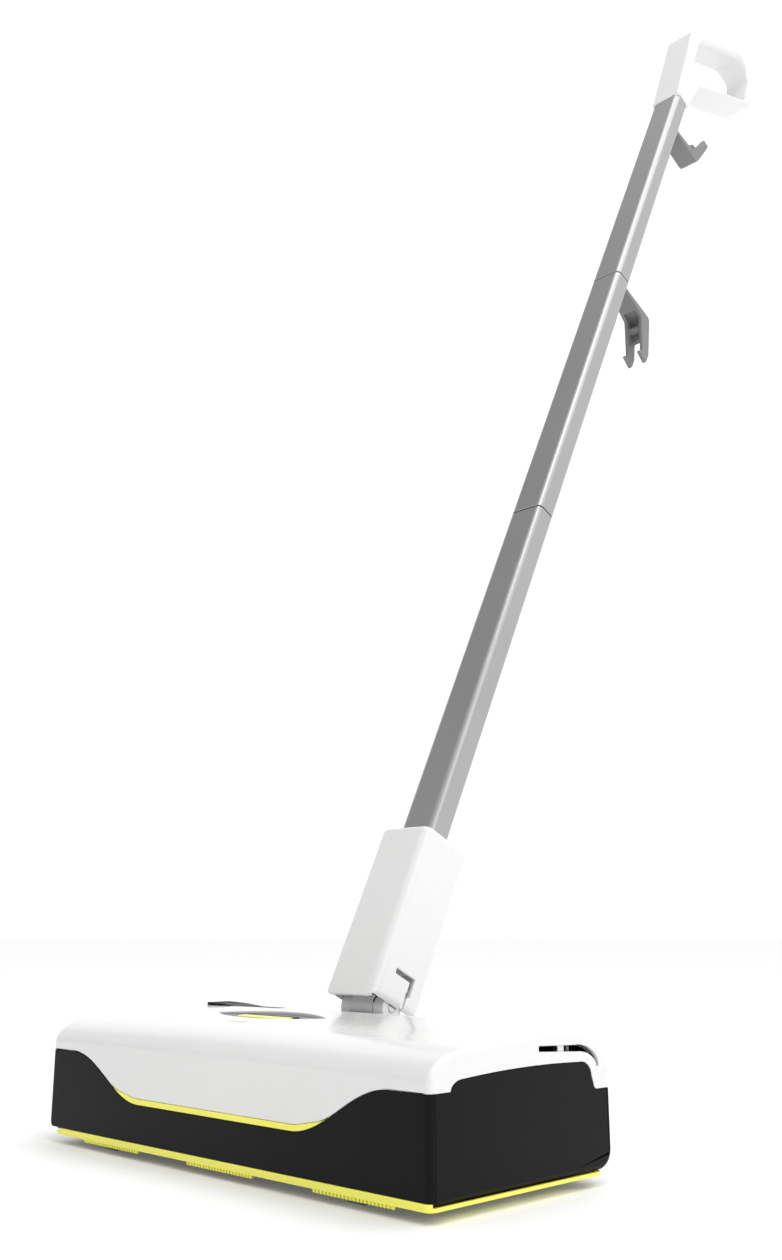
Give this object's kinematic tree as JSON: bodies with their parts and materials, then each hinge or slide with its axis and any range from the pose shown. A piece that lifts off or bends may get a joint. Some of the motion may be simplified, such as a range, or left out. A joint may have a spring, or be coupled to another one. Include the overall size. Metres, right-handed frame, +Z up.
{
  "type": "carpet sweeper",
  "caption": "Cordless powered carpet sweeper: low roller head with a side-drawn dust bin, a two-axis joint, a sectioned metal handle with a loop grip and rear hooks.",
  "frame": {"origin": "centre of the bounding box's underside, with the wheels standing on the floor at Z = 0 and the handle in its leaning pose", "axes": "+Z up, -Y the front of the head, X across the head"},
  "size_m": [0.32, 0.6865, 1.0606],
  "materials": {
    "white_plastic": "gloss",
    "black_plastic": "satin",
    "yellow_plastic": "gloss",
    "grey_plastic": "matte",
    "bin_plastic": "satin",
    "green_lens": "gloss",
    "board": "matte",
    "tube_metal": "satin",
    "steel": "brushed",
    "motor_can": "brushed",
    "brass": "polished",
    "cell": "satin",
    "bristle": "matte",
    "tyre": "matte"
  },
  "bodies": {
    "head": {"lower_housing": "black_plastic", "left_end_cap": "black_plastic", "top_cover": "white_plastic", "lip_strip": "yellow_plastic", "base_strip": "yellow_plastic", "roller_hood": "black_plastic", "badge_plate": "grey_plastic", "badge_inlay": "yellow_plastic", "led_window": "green_lens", "circuit_board": "board", "rocker_switch_body": "black_plastic", "pedal_pin": "steel", "charging_socket": "black_plastic", "battery_cells": "cell", "battery_cradle": "black_plastic", "motor": "motor_can", "motor_brackets": "black_plastic", "idler_pin": "steel", "gear_cover": "black_plastic", "roller_bushes": "brass", "dirt_flap": "tyre", "release_spring": "steel", "wheel_pins": "steel", "housing_screws": "steel", "joint_bracket": "white_plastic", "bracket_screws": "steel", "swivel_pin": "steel"},
    "roller": {"roller_core": "black_plastic", "bristle_strips": "bristle", "roller_axle": "steel", "roller_gear": "white_plastic"},
    "idler": {"idler_gear": "white_plastic"},
    "pinion": {"motor_pinion": "brass"},
    "pedal": {"foot_pedal": "black_plastic"},
    "bin": {"bin_tray": "bin_plastic", "bin_end_panel": "black_plastic"},
    "release": {"bin_release": "grey_plastic"},
    "wheel_rear_left": {"rear_wheel_left": "grey_plastic", "rear_tyre_left": "tyre"},
    "wheel_rear_right": {"rear_wheel_right": "grey_plastic", "rear_tyre_right": "tyre"},
    "wheel_front_left": {"front_wheel_left": "grey_plastic"},
    "wheel_front_right": {"front_wheel_right": "grey_plastic"},
    "knuckle": {"swivel_knuckle": "white_plastic", "tilt_pin": "steel"},
    "handle": {"handle_core": "white_plastic", "sleeve": "white_plastic", "lower_tube": "tube_metal", "middle_tube": "tube_metal", "upper_tube": "tube_metal", "tube_connectors": "black_plastic", "grip_shell": "white_plastic", "grip_cover": "white_plastic", "upper_hook": "grey_plastic", "lower_hook": "grey_plastic", "hook_screws": "steel"}
  },
  "joints": [
    {"name": "roller_spin", "type": "hinge", "parent": "head", "child": "roller", "pos_m": [0, -0.28125, 0.0272], "axis": [1, 0, 0], "continuous": true},
    {"name": "idler_spin", "type": "hinge", "parent": "head", "child": "idler", "pos_m": [-0.139, -0.30632, 0.03966], "axis": [1, 0, 0], "continuous": true},
    {"name": "pinion_spin", "type": "hinge", "parent": "head", "child": "pinion", "pos_m": [-0.139, -0.32525, 0.038], "axis": [1, 0, 0], "continuous": true},
    {"name": "rear_wheel_left_spin", "type": "hinge", "parent": "head", "child": "wheel_rear_left", "pos_m": [-0.112, -0.22025, 0.01], "axis": [1, 0, 0], "continuous": true},
    {"name": "rear_wheel_right_spin", "type": "hinge", "parent": "head", "child": "wheel_rear_right", "pos_m": [0.112, -0.22025, 0.01], "axis": [1, 0, 0], "continuous": true},
    {"name": "front_wheel_left_spin", "type": "hinge", "parent": "head", "child": "wheel_front_left", "pos_m": [-0.104, -0.33225, 0.006], "axis": [1, 0, 0], "continuous": true},
    {"name": "front_wheel_right_spin", "type": "hinge", "parent": "head", "child": "wheel_front_right", "pos_m": [0.104, -0.33225, 0.006], "axis": [1, 0, 0], "continuous": true},
    {"name": "pedal_rock", "type": "hinge", "parent": "head", "child": "pedal", "pos_m": [-0.09431, -0.23925, 0.06741], "axis": [0, 1, 0], "range_deg": [-4.4, 0]},
    {"name": "bin_slide", "type": "slide", "parent": "head", "child": "bin", "axis": [1, 0, 0], "range_m": [0, 0.26]},
    {"name": "bin_release_slide", "type": "slide", "parent": "head", "child": "release", "axis": [0, -1, 0], "range_m": [0, 0.004], "stiffness_N_per_m": 400, "deforming": ["release_spring"]},
    {"name": "handle_swivel", "type": "hinge", "parent": "head", "child": "knuckle", "pos_m": [0, -0.22525, 0.064], "axis": [0, 1, 0], "range_deg": [-14, 14]},
    {"name": "handle_tilt", "type": "hinge", "parent": "knuckle", "child": "handle", "pos_m": [0, -0.22465, 0.0798], "axis": [-1, 0, 0], "range_deg": [-6, 56]}
  ],
  "couplings": [
    {"joint": "idler_spin", "follows": "roller_spin", "ratio": -1.1538},
    {"joint": "pinion_spin", "follows": "roller_spin", "ratio": 2.5}
  ]
}
